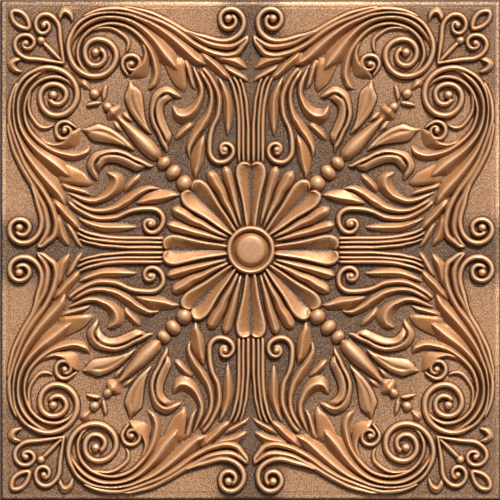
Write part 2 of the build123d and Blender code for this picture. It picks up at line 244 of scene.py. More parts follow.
        "right": [(84.3, 96.6), (86.4, 101.2), (88.7, 105), (91.6, 110.6), (94.4, 117), (97.6, 122.5),
                  (100, 128.6), (101.3, 135), (101.2, 141), (100.2, 148), (98.4, 154.4),
                  (94.4, 159.6), (88.2, 163), (81.6, 163.4), (76.2, 160.2), (71.4, 156.2),
                  (68.4, 152.8)],
        "rise": 3.4, "low": 0.45},
    "lanceOuter": {
        "crest": [(120.6, 170), (119.6, 165), (119.4, 160), (120.9, 154.5), (120.9, 150),
                  (119.8, 145.5), (117.7, 140), (114.5, 135), (110.9, 130), (107.3, 125.5),
                  (103.2, 120.9), (98.6, 115.4)],
        "left": [(120.9, 170), (121.9, 165.4), (123.4, 160), (125.9, 153), (124.9, 148), (122.6, 142),
                 (119.4, 136.2), (115.8, 131), (112, 126.4), (108, 122.4), (103.8, 118.6),
                 (98.8, 115.2)],
        "right": [(120.3, 170), (118.2, 164.6), (117.8, 159), (119, 154), (119, 150.2),
                  (118.2, 146.2), (116.2, 141.4), (113.2, 136.4), (109.8, 131.6), (106.2, 127),
                  (102.2, 122), (98.5, 115.6)],
        "rise": 2.9, "low": 0.72},
    "lanceInner": {
        "crest": [(119.8, 168), (118.3, 162), (117.2, 156), (115.7, 151), (114.6, 147),
                  (113.2, 142.4), (111.2, 137.8), (109, 133), (106.3, 128.4), (104, 124), (101, 119.4)],
        "left": [(120.4, 168), (119.6, 162), (119.6, 156), (119.7, 150.6), (118.8, 146), (117, 141.2),
                 (114.6, 136.6), (111.8, 131.8), (108.6, 127.2), (105.6, 123), (101.4, 119.2)],
        "right": [(119.4, 168.2), (115.4, 163.6), (110.8, 159.4), (108.6, 154), (107.8, 148),
                  (107.2, 142.4), (106.7, 138), (106, 133.6), (104.8, 129), (103, 124.6),
                  (100.8, 119.6)],
        "rise": 2.9, "low": 0.68},
    "dart": {
        "crest": [(32, 172.6), (28.2, 165), (25.5, 157.7), (23.3, 150), (22.6, 142), (22.6, 134),
                  (22.8, 125), (23, 118), (23, 112.6)],
        "widths": [1.2, 2.6, 3.9, 4.8, 5.2, 4.8, 3.6, 2.0, 0.2], "rise": 2.7},
    "sideBlade": {
        "crest": [(147.2, 149), (147, 153), (146.2, 158), (145.2, 162), (144.2, 165.6)],
        "widths": [0.8, 2.2, 2.5, 1.8, 0.2], "rise": 3.0, "low": 0.3, "tip": 4.0, "root": 3.0},
    "neckDrop": {
        "crest": [(128.4, 137.6), (126, 135.2), (123.6, 133.2), (120.5, 130.5), (116.6, 127.6)],
        "widths": [1.4, 2.8, 2.9, 1.9, 0.2], "rise": 2.1},
    "cornerHook": {
        "crest": [(190.8, 228.5), (189.6, 233.2), (186.4, 238.2), (182, 237), (178.6, 231),
                  (177.6, 228)],
        "left": [(190.2, 228.5), (188.2, 233), (185, 235.2), (181.9, 233), (179, 229.2),
                 (177.7, 227.9)],
        "right": [(191.6, 228.5), (193, 234.5), (187.5, 243), (180.6, 241), (177.4, 233.2),
                  (177.4, 228.2)],
        "rise": 3.2, "low": 0.35, "tip": 3.0, "root": 4.0},
}

# rounded lines: run, half-width along it, height
lines = {
    "band2": {
        "run": [(168, 233.2), (160, 237), (150, 240), (140, 241.2), (130, 241.1), (120.9, 239.1),
                (110, 235.7), (100, 231.9), (90, 228), (80, 222.7), (70, 216.1), (60, 208.4),
                (50.5, 202.7), (40, 197.7), (33.2, 195.7), (25, 194.3), (18.2, 195.2), (13.2, 197.3),
                (9.5, 201.8), (6.4, 205.5), (4.1, 209), (3.1, 214.6)],
        "half": [1.2, 1.8, 2.2, 2.4, 2.3, 2.3, 2.5, 2.5, 2.6, 2.8, 3.2, 3.6, 3.6, 3.2, 3.0, 3.2, 3.2,
                 3.2, 3.2, 3.2, 2.6, 0.8],
        "rise": 3.2, "round": 0.35, "low": 0.42},
    "band1": {
        "run": [(128, 243), (120, 242.2), (111.8, 240.2), (99.5, 236.8), (90, 232.5), (80, 227.3),
                (70.5, 221.6), (60, 215.5), (50.5, 210.5), (45, 207.6), (38, 205.3), (30, 203.8),
                (23.2, 203.3), (15.9, 204.8), (10.9, 207.5), (6.4, 210.9), (3.1, 214.6)],
        "half": [0.6, 1.4, 2.0, 2.3, 2.4, 2.6, 2.8, 2.8, 2.8, 2.8, 3.0, 3.2, 3.2, 3.2, 3.2, 2.6, 0.8],
        "rise": 3.0, "round": 0.35, "low": 0.42},
    "firstLobe": {
        "run": [(160, 219.5), (152, 221.6), (145, 222.3), (140, 221.8), (135, 220), (130, 216.8),
                (125.9, 213.6), (123.2, 210), (122.3, 206.4), (122.7, 202.3), (125.2, 196.8)],
        "half": [0.6, 1.6, 1.9, 2.0, 2.1, 2.2, 2.4, 2.5, 2.3, 1.8, 0.3], "rise": 2.6, "round": 0.3},
    "innerStem": {
        "run": [(41.4, 106), (41.2, 114), (39.1, 121), (36.4, 126.4), (33.4, 132.7), (31.8, 141),
                (31.4, 149), (32.2, 155), (34.5, 161.4), (38, 168.2), (41.8, 174.5), (48.6, 182.4)],
        "half": [0.2, 1.4, 2.4, 2.8, 3.0, 3.2, 3.3, 3.3, 3.2, 3.0, 2.8, 2.0],
        "rise": 3.0, "round": 0.25},
    "rib1": {
        "run": [(11.6, 87), (11.8, 95), (11.8, 110), (11.8, 125), (12.5, 140), (14, 150),
                (15.5, 156.4), (17.3, 163.2), (20, 169.3), (22, 173)],
        "half": [1.6, 2.2, 2.3, 2.3, 2.3, 2.3, 2.3, 2.2, 1.8, 1.0], "rise": 2.6, "round": 0.8},
    "rib2": {
        "run": [(7.4, 87), (7.6, 95), (7.7, 110), (7.7, 125), (8.6, 140), (9.8, 150), (10.9, 157.7),
                (12.7, 164.5), (15.5, 170.5), (17.5, 174)],
        "half": [1.6, 2.0, 2.1, 2.1, 2.1, 2.1, 2.1, 2.1, 1.8, 1.0], "rise": 2.6, "round": 0.8},
    "rib3": {
        "run": [(2.7, 87), (2.7, 95), (2.7, 110), (2.8, 125), (4, 138), (5, 150), (6.8, 157.7),
                (8, 163.6), (9.8, 168.5), (11.4, 172)],
        "half": [1.8, 2.4, 2.6, 2.6, 2.2, 2.0, 2.0, 2.0, 1.6, 1.0], "rise": 2.6, "round": 0.5},
    "spindle": {
        "run": [(188, 188), (193, 193), (198, 198), (203, 203), (208, 208)],
        "half": [1.2, 2.4, 2.7, 2.6, 2.2], "rise": 2.8, "round": 0.6},
    "cornerLoop": {
        "run": [(236.9, 228.8), (238.9, 233.2), (238.2, 238.2), (233.2, 238.9), (228.2, 236.8),
                (223.6, 231.4), (221.8, 226.4), (221.9, 221.9), (226.4, 221.8), (230, 223)],
        "half": [2.6, 2.7, 2.7, 2.7, 2.7, 2.7, 2.7, 2.7, 2.7, 2.6], "rise": 2.8, "round": 0.6},
}

# scrolls: the outermost points of each quarter turn, then half-width and height;
# sideFirst where the first of those points lies to the side and not above or below
scrolls = {
    "great": {
        "lead": [(165, 231.4), (173.2, 224.6), (178.8, 216.4)],
        "turns": [(182.5, 203), (155.5, 173.6), (134.5, 194), (152.5, 210.8), (166, 197.5),
                  (155.5, 184.4), (145.8, 193), (151.8, 200.6)],
        "half": [0.4, 2.8, 3.0, 3.1, 3.1, 3.0, 2.9, 2.8, 2.6],
        "rise": 3.4, "round": 0.85, "sideFirst": True},
    "edge": {
        "lead": [(66, 220), (62, 218.5), (55, 215.6), (46, 213)],
        "turns": [(28, 208.8), (7, 227), (20, 241), (30.6, 231), (22.5, 221.3), (15.1, 228),
                  (19.6, 234)],
        "half": [0.6, 2.8, 3.0, 2.9, 2.8, 2.7, 2.6, 2.4],
        "rise": 3.3, "round": 0.85, "sideFirst": False},
    "stem": {
        "lead": [(33.4, 132.6), (36.5, 126.2), (39.4, 118.6), (41, 110)],
        "turns": [(41.4, 100), (30.5, 87.6), (17.5, 98.5), (25, 106.3), (30, 101.5), (27, 96.6),
                  (23.6, 99)],
        "half": [0.4, 2.4, 2.8, 2.8, 2.7, 2.6, 2.5, 2.3, 2.0],
        "rise": 3.0, "round": 0.85, "sideFirst": True},
    "small": {
        "lead": [(121.6, 173.6), (125.4, 178.6)],
        "turns": [(128.5, 186), (119.7, 194.8), (111, 187.4), (118, 179.8), (123.3, 184.4),
                  (120, 187.4)],
        "half": [1.0, 2.2, 2.4, 2.4, 2.3, 2.2, 2.0],
        "rise": 2.7, "round": 0.85, "sideFirst": True},
    "corner": {
        "lead": [(186.6, 185), (188.2, 195.5), (189.5, 204), (190.8, 214), (191.8, 224), (196.6, 232)],
        "turns": [(205, 235.8), (215.1, 225.5), (207.8, 216.5), (201.5, 222.6), (204.8, 227.6),
                  (208, 224)],
        "half": [1.4, 2.3, 2.5, 2.5, 2.4, 2.3, 2.0],
        "rise": 2.8, "round": 0.85, "sideFirst": False},
}

# on the diagonal: place along it, half-width there, height share
spine = {
    "bud": {"rows": [(91, 2.6, 0.3), (94, 6.2, 0.7), (98, 7.6, 0.9), (103, 8.3, 1), (108, 8, 1),
                     (112, 7.2, 0.96), (117, 6, 0.9), (123, 4.6, 0.8), (127, 3.2, 0.7),
                     (131, 2.6, 0.6)],
            "rise": 3.6, "round": 0.85},
    "bell": {"rows": [(129.6, 3, 0.5), (132.4, 4.4, 0.5), (134.4, 7.4, 0.5), (136, 9.4, 0.8),
                      (138, 9.6, 0.95), (140, 6.4, 0.85), (141.6, 2.4, 0.5)],
             "rise": 3.2, "round": 0.5},
    "cap": {"rows": [(160.4, 0.8, 0.3), (163, 3, 0.8), (166.2, 5.6, 1), (168.6, 6.2, 0.6),
                     (170.4, 5, 0.1)],
            "rise": 2.6, "round": 0.0},
}

beads = [
    {"at": 66.5, "across": 8.2, "along": 8.0, "rise": 3.4},
    {"at": 77.5, "across": 8.5, "along": 6.6, "rise": 3.3},
    {"at": 87.0, "across": 7.4, "along": 5.9, "rise": 3.1},
    {"at": 142.8, "across": 4.6, "along": 5.4, "rise": 3.0},
    {"at": 156.2, "across": 4.8, "along": 5.2, "rise": 3.0},
    {"at": 209.6, "across": 4.2, "along": 4.4, "rise": 2.9},
]

# round knobs at the eyes of the scrolls: x, y and radius
eyes = {"great": (155.0, 197.6, 4.4), "edge": (22.4, 231.5, 4.4), "stem": (26.0, 100.4, 3.8),
        "small": (119.4, 186.0, 3.4), "corner": (206.8, 224.8, 3.4)}

hub = {
    "outline": [(0, 3.2), (8, 3.15), (12.5, 3.0), (14.2, 2.6), (15.4, 1.9), (16.8, 0.9), (18.3, 0.8),
                (19.3, 1.5), (20.4, 2.9), (21.4, 3.5), (22.2, 3.5), (23.2, 2.9), (24.1, 1.6), (24.8, 0)],
}

strokeWork = {
    "spacing": 0.7,         # mm between the sections of a leaf or line
    "fewest": 8,            # sections on a short one
    "stepsAcross": 25,      # points from foot to foot of a section
    "footDepth": 0.3,       # mm that a foot goes below the ground
    "leafFade": 8.0,        # mm over which a leaf rises at either end
    "petalFade": 3.0,       # the same for a rim petal
    "lineFade": 3.0,        # for a line
    "scrollFade": 2.5,      # and for a scroll
    "fadePower": 0.6,       # below 1 the ends are blunt
    "rootWidth": 0.15,      # share of its width that a root starts with
    "rootPower": 0.5,
    "leafRound": 0.12,      # section of a leaf: 0 is a plain ridge, 1 a half round
    "dish": -0.15,          # section of a rim petal's inner flank, below 0 is hollow
    "roll": 0.5,            # and of its rolled outer flank
    "seam": 0.02,           # share of a flank that the other half of a rim petal keeps
    "arcSteps": 6,          # points on a quarter turn of a scroll
    "eyeRise": 3.6,         # height of the knobs in the scrolls
    "knobSegments": 40,
    "knobRings": 24,
    "thinnest": 0.1,        # least half-width of a form on the diagonal
    "dropFrom": 50.0,       # mm above the back that the fine grid is dropped from
}

paths = []


def cubicThrough(marks, values, at):
    # smooth curve through given points, straight at both ends
    marks, values = np.asarray(marks, float), np.asarray(values, float)
    count, gap = len(marks), np.diff(marks)
    matrix, goal = np.eye(count), np.zeros_like(values)
    for i in range(1, count - 1):
        matrix[i, i - 1:i + 2] = gap[i - 1], 2 * (gap[i - 1] + gap[i]), gap[i]
        goal[i] = 6 * ((values[i + 1] - values[i]) / gap[i] - (values[i] - values[i - 1]) / gap[i - 1])
    bend = np.linalg.solve(matrix, goal)
    i = np.clip(np.searchsorted(marks, at, side="right") - 1, 0, count - 2)
    h, a, b = gap[i][:, None], (marks[i + 1] - at)[:, None], (at - marks[i])[:, None]
    low, high = bend[i], bend[i + 1]
    return ((low * a ** 3 + high * b ** 3) / (6 * h) + (values[i] / h - low * h / 6) * a
            + (values[i + 1] / h - high * h / 6) * b)


def stationsOn(points):
    # distance of each drawn point along its run, and of each section
    steps = np.linalg.norm(np.diff(np.asarray(points, float), axis=0), axis=1)
    marks = np.concatenate([[0], np.cumsum(np.maximum(steps, 1e-6))])
    sections = max(strokeWork["fewest"], int(marks[-1] / strokeWork["spacing"]))
    return marks, np.linspace(0, marks[-1], sections)


def sideways(run):
    along = np.gradient(run, axis=0)
    along /= np.linalg.norm(along, axis=1)[:, None]
    return np.stack([-along[:, 1], along[:, 0]], axis=1)


def endFade(distances, total, rootReach, tipReach):
    # height falls away towards both ends
    ends = np.minimum(distances / rootReach, (total - distances) / tipReach)
    return np.clip(ends, 0, 1) ** strokeWork["fadePower"]


def addStroke(crest, left, right, rise, roundness, low):
    paths.append({"crest": crest, "left": left, "right": right, "rise": rise * lift,
                  "round": roundness, "low": low})


def addLeaf(leaf):
    marks, at = stationsOn(leaf["crest"])
    crest = cubicThrough(marks, leaf["crest"], at)
    if "widths" in leaf:
        half = cubicThrough(marks, np.array(leaf["widths"])[:, None], at)
        normal = sideways(crest)
        left, right = crest + normal * half, crest - normal * half
    else:
        left = cubicThrough(marks, leaf["left"], at)
        right = cubicThrough(marks, leaf["right"], at)
    low = leaf.get("low", tileSheet["footShare"]) + np.zeros(len(at))
    if "root" in leaf:
        # a root starts narrow in its neighbour, and its grooves deepen as it leaves
        grown = np.clip(at / leaf["root"], strokeWork["rootWidth"], 1)[:, None] ** strokeWork["rootPower"]
        left, right = crest + (left - crest) * grown, crest + (right - crest) * grown
        low += (tileSheet["rootShare"] - low) * np.clip(1 - at / (2 * leaf["root"]), 0, 1)
    plainFade = strokeWork["leafFade"]
    fade = endFade(at, marks[-1], leaf.get("root", plainFade), leaf.get("tip", plainFade))
    addStroke(crest, left, right, leaf["rise"] * fade, leaf.get("round", strokeWork["leafRound"]), low)


def addRimPetal(petal):
    # dished inside, rolled over outside
    marks, at = stationsOn(petal["crest"])
    crest, inner, outer = [cubicThrough(marks, petal[key], at) for key in ("crest", "inner", "outer")]
    rise = petal["rise"] * endFade(at, marks[-1], strokeWork["petalFade"], strokeWork["petalFade"])
    flanks = ((inner, strokeWork["dish"], petal["low"]), (outer, strokeWork["roll"], 0.0))
    for flank, roundness, low in flanks:
        addStroke(crest, flank, crest + (flank - crest) * strokeWork["seam"], rise, roundness, low)


def addLine(run, line, fade, low):
    marks, at = stationsOn(run)
    crest = cubicThrough(marks, run, at)
    width = np.interp(at / marks[-1], np.linspace(0, 1, len(line["half"])), line["half"])[:, None]
    normal = sideways(crest)
    height = line["rise"] * endFade(at, marks[-1], fade, fade)
    addStroke(crest, crest + normal * width, crest - normal * width, height, line["round"], low)


def addSpine(form):
    # a turned form that lies along the diagonal
    marks = np.array([row[0] for row in form["rows"]]) * math.sqrt(2)
    at = np.linspace(marks[0], marks[-1], int((marks[-1] - marks[0]) / strokeWork["spacing"]))
    half, share = cubicThrough(marks, [row[1:] for row in form["rows"]], at).T
    crest = np.stack([at, at], axis=1) / math.sqrt(2)
    aside = np.array([[-1, 1]]) / math.sqrt(2) * np.maximum(half, strokeWork["thinnest"])[:, None]
    addStroke(crest, crest + aside, crest - aside, form["rise"] * np.clip(share, 0, 1), form["round"], 0.0)


def quarterTurns(turns, sideFirst):
    # each stretch is a quarter of an ellipse between two outermost points
    points, onSide = [turns[0]], sideFirst
    for start, end in zip(turns, turns[1:]):
        middle = (end[0], start[1]) if onSide else (start[0], end[1])
        for step in range(1, strokeWork["arcSteps"] + 1):
            angle = math.pi / 2 * step / strokeWork["arcSteps"]
            near, far = math.cos(angle), math.sin(angle)
            points.append((middle[0] + (start[0] - middle[0]) * near + (end[0] - middle[0]) * far,
                           middle[1] + (start[1] - middle[1]) * near + (end[1] - middle[1]) * far))
        onSide = not onSide
    return points


for petal in petals.values():
    addLeaf(petal)
for petal in rimPetals.values():
    addRimPetal(petal)
for leaf in leaves.values():
    addLeaf(leaf)
for line in lines.values():
    addLine(line["run"], line, strokeWork["lineFade"], line.get("low", tileSheet["lineShare"]))
for scroll in scrolls.values():
    run = scroll["lead"] + quarterTurns(scroll["turns"], scroll["sideFirst"])
    addLine(run, scroll, strokeWork["scrollFade"], tileSheet["lineShare"])
for form in spine.values():
    addSpine(form)
print("strokes drawn:", len(paths))


def pathMesh(strokes):
    # one polyline for each stroke; what the sweep needs travels as attributes
    crests = np.concatenate([stroke["crest"] for stroke in strokes])
    lengths = [len(stroke["crest"]) for stroke in strokes]
    edges, start = [], 0
    for length in lengths:
        edges += [(start + i, start + i + 1) for i in range(length - 1)]
        start += length
    flat = np.zeros((len(crests), 1))
    mesh = bpy.data.meshes.new("reliefPaths")
    mesh.from_pydata(np.hstack([crests, flat]) * pitch * mm, edges, [])
    for key, label in (("crest", "crestAt"), ("left", "leftFoot"), ("right", "rightFoot")):
        places = np.hstack([np.concatenate([stroke[key] for stroke in strokes]), flat]) * pitch * mm
        mesh.attributes.new(label, "FLOAT_VECTOR", "POINT").data.foreach_set("vector", places.ravel())
    for key, label, unit in (("rise", "rise", mm), ("round", "roundness", 1), ("low", "lowShare", 1)):
        rows = [np.broadcast_to(stroke[key], (length,)) for stroke, length in zip(strokes, lengths)]
        values = np.concatenate(rows) * unit
        mesh.attributes.new(label, "FLOAT", "POINT").data.foreach_set("value", values)
    return mesh


class Tree:
    # short hand for building a node tree
    def __init__(self, name=None, tree=None):
        self.tree = tree or bpy.data.node_groups.new(name, "GeometryNodeTree")

    def socket(self, name, kind, default=None, inOut="INPUT"):
        made = self.tree.interface.new_socket(name, in_out=inOut, socket_type="NodeSocket" + kind)
        if default is not None:
            made.default_value = default

    def sockets(self, wanted):
        # geometry in and out, the named sizes between them, and the finish
        self.socket("Geometry", "Geometry")
        for name, (kind, default) in wanted.items():
            self.socket(name, kind, default)
        self.socket("Finish", "Material")
        self.socket("Geometry", "Geometry", inOut="OUTPUT")
        return self.node("NodeGroupInput").outputs

    def close(self, geometry, finish):
        solid = self.out("GeometryNodeRealizeInstances", {0: geometry})
        solid = self.out("GeometryNodeSetMaterial", {"Geometry": solid, "Material": finish})
        self.tree.links.new(solid, self.node("NodeGroupOutput").inputs[0])
        return self.tree

    def node(self, kind, inputs=None, **settings):
        made = self.tree.nodes.new(kind)
        for key, value in settings.items():
            setattr(made, key, value)
        for key, value in (inputs or {}).items():
            if isinstance(value, bpy.types.NodeSocket):
                self.tree.links.new(value, made.inputs[key])
            else:
                made.inputs[key].default_value = value
        return made

    def out(self, kind, inputs=None, port=0, **settings):
        return self.node(kind, inputs, **settings).outputs[port]

    def math(self, operation, first, second=0.0, third=None):
        inputs = {0: first, 1: second}
        if third is not None:
            inputs[2] = third
        return self.out("ShaderNodeMath", inputs, operation=operation)

    def vector(self, operation, first, second=None):
        inputs = {0: first}
        if second is not None:
            inputs["Scale" if operation == "SCALE" else 1] = second
        return self.out("ShaderNodeVectorMath", inputs, operation=operation)

    def named(self, name, kind="FLOAT"):
        return self.out("GeometryNodeInputNamedAttribute", {"Name": name}, data_type=kind)


def sweepTree():
    # a straight section is swept along each crest, then set out from foot to foot
    t = Tree("reliefSweep")
    given = t.sockets({"Steps Across": ("Int", strokeWork["stepsAcross"]),
                       "Ground": ("Float", tileSheet["ground"] * mm),
                       "Foot Depth": ("Float", strokeWork["footDepth"] * mm)})
    rail = t.out("GeometryNodeMeshToCurve", {0: given["Geometry"]})
    span = t.out("GeometryNodeCurvePrimitiveLine", {"Start": (-1, 0, 0), "End": (1, 0, 0)})
    span = t.out("GeometryNodeResampleCurve", {"Curve": span, "Count": given["Steps Across"]})
    across = t.out("ShaderNodeSeparateXYZ", {0: t.out("GeometryNodeInputPosition")})
    span = t.out("GeometryNodeStoreNamedAttribute", {"Geometry": span, "Name": "across", "Value": across},
                 domain="POINT")
    swept = t.out("GeometryNodeCurveToMesh", {"Curve": rail, "Profile Curve": span})
    side = t.named("across")
    reach = t.math("ABSOLUTE", side)
    crest = t.named("crestAt", "FLOAT_VECTOR")
    feet = {0: t.math("GREATER_THAN", side, 0.0), 1: t.named("rightFoot", "FLOAT_VECTOR"),
            2: t.named("leftFoot", "FLOAT_VECTOR")}
    foot = t.out("GeometryNodeSwitch", feet, input_type="VECTOR")
    outwards = t.vector("SCALE", t.vector("SUBTRACT", foot, crest), reach)
    flank = t.math("SUBTRACT", 1.0, reach)
    dome = t.math("SQRT", t.math("MULTIPLY", flank, t.math("ADD", 1.0, reach)))
    dished = t.math("MULTIPLY", flank, flank)
    roundness = t.named("roundness")
    bulging = t.math("MAXIMUM", roundness, 0.0)
    hollowed = t.math("MAXIMUM", t.math("MULTIPLY", roundness, -1.0), 0.0)
    domed = t.math("MULTIPLY_ADD", t.math("SUBTRACT", dome, flank), bulging, flank)
    shape = t.math("MULTIPLY_ADD", t.math("SUBTRACT", dished, flank), hollowed, domed)
    lowShare = t.named("lowShare")
    share = t.math("MULTIPLY_ADD", shape, t.math("SUBTRACT", 1.0, lowShare), lowShare)
    full = t.math("ADD", t.named("rise"), given["Foot Depth"])
    foundation = t.math("SUBTRACT", given["Ground"], given["Foot Depth"])
    upwards = t.out("ShaderNodeCombineXYZ", {2: t.math("ADD", foundation, t.math("MULTIPLY", full, share))})
    place = t.vector("ADD", t.vector("ADD", crest, outwards), upwards)
    shaped = t.out("GeometryNodeSetPosition", {"Geometry": swept, "Position": place})
    return t.close(shaped, given["Finish"])


def beadTree():
    t = Tree("beadSetting")
    given = t.sockets({"Segments": ("Int", strokeWork["knobSegments"]),
                       "Rings": ("Int", strokeWork["knobRings"])})
    sphere = {"Segments": given["Segments"], "Rings": given["Rings"], "Radius": 1.0}
    ball = t.out("GeometryNodeMeshUVSphere", sphere)
    turned = t.out("ShaderNodeCombineXYZ", {2: -math.pi / 4})
    setting = {"Points": given["Geometry"], "Instance": ball, "Rotation": turned,
               "Scale": t.named("beadSize", "FLOAT_VECTOR")}
    return t.close(t.out("GeometryNodeInstanceOnPoints", setting), given["Finish"])


def skinTree():
    # drops every point of a flat grid on to the eighth and three of its mirror copies
    t = Tree("reliefSkin")
    given = t.sockets({"Relief": ("Object", None), "Ground": ("Float", tileSheet["ground"] * mm)})
    eighth = t.out("GeometryNodeObjectInfo", {"Object": given["Relief"]}, "Geometry",
                   transform_space="ORIGINAL")
    copies = [eighth]
    for turn, scale in ((-math.pi / 2, (-1, 1, 1)), (0, (-1, 1, 1)), (-math.pi / 2, (1, 1, 1))):
        move = {"Geometry": eighth, "Rotation": (0, 0, turn), "Scale": scale}
        copies.append(t.out("GeometryNodeTransform", move))
    whole = t.node("GeometryNodeJoinGeometry")
    for copy in copies:
        t.tree.links.new(copy, whole.inputs[0])
    position, above = t.out("GeometryNodeInputPosition"), strokeWork["dropFrom"] * mm
    drop = {"Target Geometry": whole.outputs[0], "Source Position": t.vector("ADD", position, (0, 0, above)),
            "Ray Direction": (0, 0, -1), "Ray Length": 2 * above}
    ray = t.node("GeometryNodeRaycast", drop).outputs
    hitHeight = t.out("ShaderNodeSeparateXYZ", {0: ray["Hit Position"]}, 2)
    choice = {0: ray["Is Hit"], 1: given["Ground"], 2: t.math("MAXIMUM", hitHeight, given["Ground"])}
    upwards = t.out("ShaderNodeCombineXYZ", {2: t.out("GeometryNodeSwitch", choice, input_type="FLOAT")})
    place = t.vector("ADD", t.vector("MULTIPLY", position, (1, 1, 0)), upwards)
    shaped = t.out("GeometryNodeSetPosition", {"Geometry": given["Geometry"], "Position": place})
    return t.close(shaped, given["Finish"])


def placed(name, data):
    holder = bpy.data.objects.new(name, data)
    bpy.context.scene.collection.objects.link(holder)
    return holder


def plainMesh(holder):
    # the mesh that the modifiers make, without its object
    bpy.context.view_layer.update()
    ready = holder.evaluated_get(bpy.context.evaluated_depsgraph_get())
    result = bpy.data.meshes.new_from_object(ready)
    bpy.data.objects.remove(holder)
    return result


def grow(name, mesh, tree, **inputs):
    # runs a node tree on a mesh
    holder = placed(name, mesh)
    modifier = holder.modifiers.new("grow", "NODES")
    modifier.node_group = tree
    for item in tree.interface.items_tree:
        if item.in_out == "INPUT" and item.name in inputs:
            modifier[item.identifier] = inputs[item.name]
    return plainMesh(holder)


def readOut(items, key, width=1, kind=float):
    values = np.empty(len(items) * width, dtype=kind)
    items.foreach_get(key, values)
    return values.reshape(-1, width) if width > 1 else values


def skinHeights(relief):
    # the highest surface above each point of a fine grid over one quarter
    count = int(round(tileSheet["side"] / 2 / tileSheet["skinStep"])) + 1
    line = np.linspace(0, tileSheet["side"] / 2, count)
    across, up = np.meshgrid(line, line)
    points = np.stack([across.ravel(), up.ravel(), np.zeros(count * count)], axis=1) * mm
    mesh = bpy.data.meshes.new("skinGrid")
    mesh.from_pydata(points, [], [])
    lifted = grow("skinGrid", mesh, skinTree(), Relief=relief)
    return across, up, readOut(lifted.vertices, "co", 3)[:, 2].reshape(count, count) / mm


def blurred(field, rounds):
    for _ in range(rounds):
        padded = np.pad(field, 1, mode="reflect")
        field = (padded[:-2] + 2 * padded[1:-1] + padded[2:]) / 4
        field = (field[:, :-2] + 2 * field[:, 1:-1] + field[:, 2:]) / 4
    return field


def addRim(across, up, heights):
    sheet = tileSheet
    inset = sheet["side"] / 2 - np.maximum(across, up)
    crest = sheet["ground"] + sheet["rimLip"]
    inner = np.clip((inset - sheet["rimCrest"]) / (sheet["rimFoot"] - sheet["rimCrest"]), 0, 1)
    lip = sheet["ground"] + sheet["rimLip"] * (0.5 + 0.5 * np.cos(math.pi * inner))
    outer = np.clip(1 - inset / sheet["rimSide"], 0, 1)
    drop = crest - sheet["rimDrop"] * (1 - np.sqrt(1 - outer ** 2))
    return np.where(inset < sheet["rimSide"], drop, np.maximum(heights, lip))


def faceMesh(across, up, heights):
    # the fine grid as quads, thinned where it is plain
    count = heights.shape[0]
    places = np.stack([across, up, heights], axis=2).reshape(-1, 3) * mm
    index = np.arange(count * count).reshape(count, count)
    corners = [index[:-1, :-1], index[:-1, 1:], index[1:, 1:], index[1:, :-1]]
    quads = np.stack(corners, axis=2).reshape(-1, 4)
    mesh = bpy.data.meshes.new("fineFace")
    mesh.vertices.add(len(places))
    mesh.vertices.foreach_set("co", places.ravel())
    mesh.loops.add(quads.size)
    mesh.loops.foreach_set("vertex_index", quads.ravel())
    mesh.polygons.add(len(quads))
    mesh.polygons.foreach_set("loop_start", np.arange(len(quads)) * 4)
    mesh.update(calc_edges=True)
    holder = placed("fineFace", mesh)
    thin = holder.modifiers.new("thin", "DECIMATE")
    thin.ratio = tileSheet["faceBudget"] / (2 * len(quads))
    return plainMesh(holder)


def closedTile(quarter):
    # four mirrored quarters, straight sides and a flat back, one closed skin
    quarter.calc_loop_triangles()
    places = readOut(quarter.vertices, "co", 3)
    corners = readOut(quarter.loop_triangles, "vertices", 3, np.int32)
    half, snap = tileSheet["side"] / 2 * mm, tileSheet["snap"] * mm
    for axis in (0, 1):
        places[:, axis] = np.where(places[:, axis] < snap, 0, places[:, axis])
        places[:, axis] = np.where(places[:, axis] > half - snap, half, places[:, axis])
    tile = bmesh.new()
    for flipX, flipY in ((1, 1), (-1, 1), (-1, -1), (1, -1)):
        made = [tile.verts.new(place) for place in places * (flipX, flipY, 1)]
        for a, b, c in corners:
            tile.faces.new((made[a], made[b], made[c]) if flipX == flipY else (made[c], made[b], made[a]))
    bmesh.ops.remove_doubles(tile, verts=tile.verts, dist=tileSheet["weld"] * mm)
    rimEdges = [edge for edge in tile.edges if edge.is_boundary]
    lowered = bmesh.ops.extrude_edge_only(tile, edges=rimEdges)["geom"]
    for item in lowered:
        if isinstance(item, bmesh.types.BMVert):
            item.co.z = 0
    foot = [item for item in lowered if isinstance(item, bmesh.types.BMEdge) and item.is_boundary]
    middle = tile.verts.new((0, 0, 0))
    for edge in foot:
        tile.faces.new((edge.verts[0], edge.verts[1], middle))
    bmesh.ops.recalc_face_normals(tile, faces=tile.faces)
    print("open edges left:", sum(1 for edge in tile.edges if len(edge.link_faces) != 2))
    mesh = bpy.data.meshes.new("foamTile")
    tile.to_mesh(mesh)
    tile.free()
    return mesh


# how the shading of the coarser facets follows the fine relief
shading = {
    "depth": 1.6,           # how much it sharpens the slopes
    "faceUp": 0.02,         # upward share of its normal above which a facet lies on the face
    "gentleUp": 0.99,       # above which it is gentle
    "slopedUp": 0.9995,     # and below which it has a slope at all
    "liftedBy": 0.30,       # mm above the ground that count as relief
    "wideFacet": 1.5,       # mm2 of a facet too wide to carry a value between its corners
    "agreeFrom": 0.80,      # the fine slope counts from here, where 1 is the facet's own slope
    "agreeSpan": 0.16,      # and counts in full this much further
    "hollowReach": 6,       # rounds of blur that find the narrow hollows
    "swellReach": 24,       # and the broad crests
}


